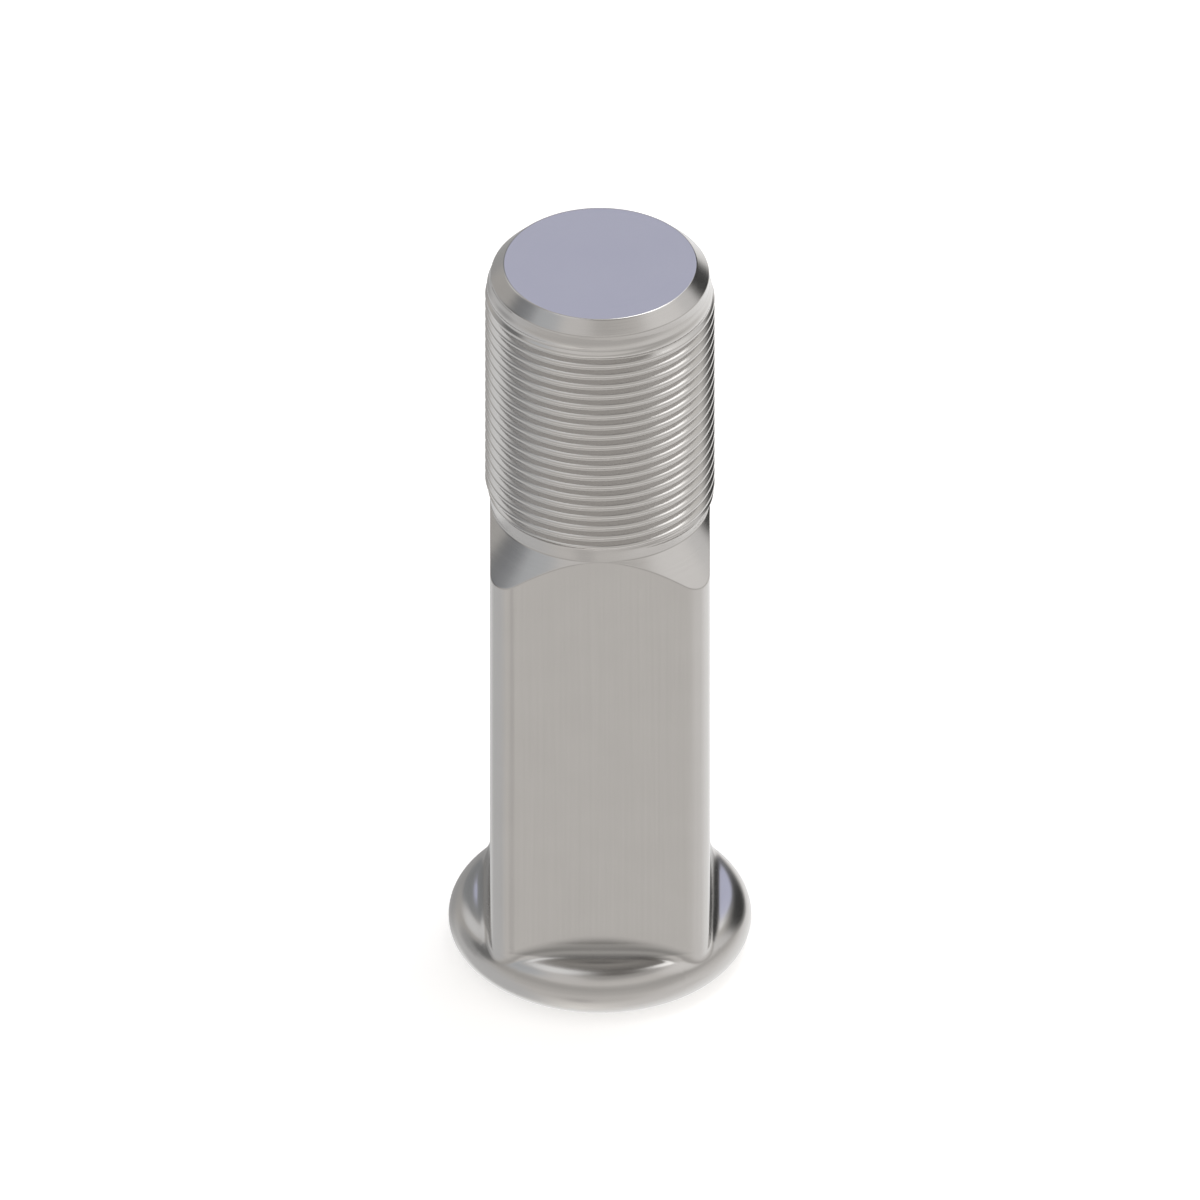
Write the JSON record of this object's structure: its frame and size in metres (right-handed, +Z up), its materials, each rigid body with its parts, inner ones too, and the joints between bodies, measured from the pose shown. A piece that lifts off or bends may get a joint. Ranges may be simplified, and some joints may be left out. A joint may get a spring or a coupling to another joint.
{
  "type": "transport lock bolt",
  "caption": "Steel transport lock bolt with a round-rimmed head, a long rounded-square neck that keeps it from turning, a coned shoulder and a fine-threaded end.",
  "frame": {"origin": "centre of the head's flat underside, on the bolt's axis", "axes": "+Z up the axis to the threaded end; the neck's flats face +X, -X, +Y and -Y"},
  "size_m": [0.0368, 0.0368, 0.1],
  "materials": {
    "bolt_steel": "satin, turned and rolled, uncoated"
  },
  "bodies": {
    "root": {"lock_bolt": "bolt_steel"}
  },
  "joints": []
}
